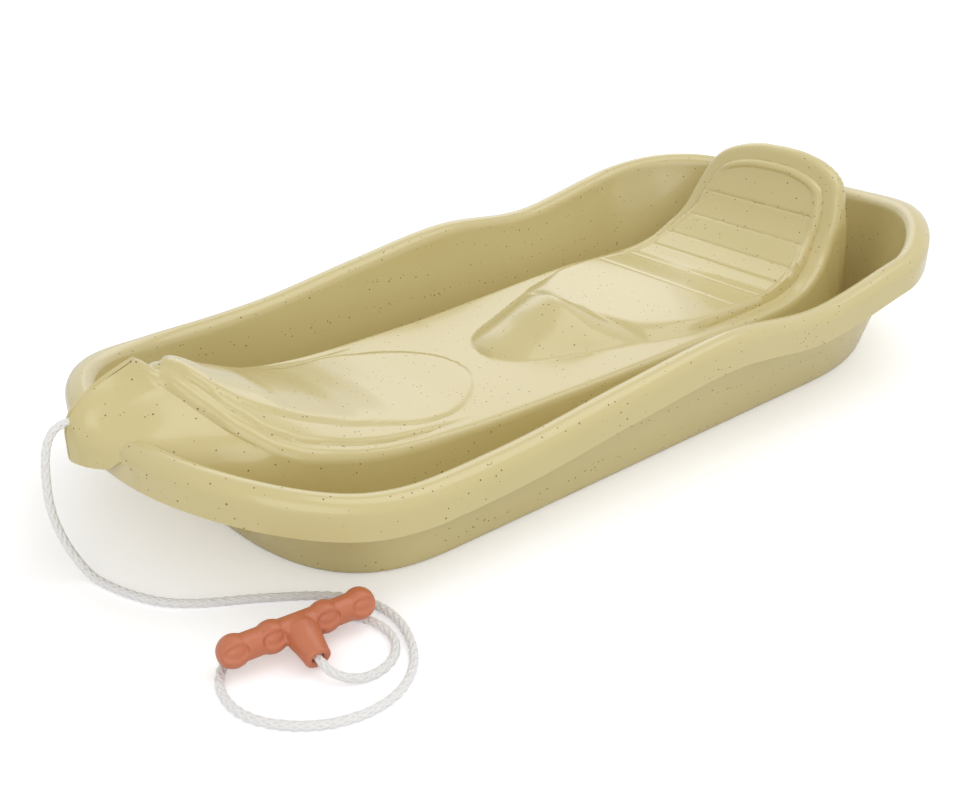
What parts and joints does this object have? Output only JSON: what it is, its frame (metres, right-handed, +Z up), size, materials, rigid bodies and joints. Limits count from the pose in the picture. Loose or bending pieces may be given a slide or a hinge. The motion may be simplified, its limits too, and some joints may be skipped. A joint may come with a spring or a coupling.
{
  "type": "baby sled",
  "caption": "Low moulded sled tub with a rolled rim, prow, pommel and ribbed backrest seat, and a tow rope with a finger-grip handle.",
  "frame": {"origin": "on the ground, under the middle of the sled", "axes": "+Y towards the backrest, -Y towards the nose, +X across the sled, +Z up"},
  "size_m": [0.4141, 0.827, 0.154],
  "materials": {
    "shell": "glossy, with sparse dark flecks",
    "rope": "braided",
    "grip": "satin"
  },
  "bodies": {
    "root": {"tub": "shell", "seat_deck": "shell", "rope": "rope", "nose_knot": "rope", "handle": "grip"}
  },
  "joints": []
}
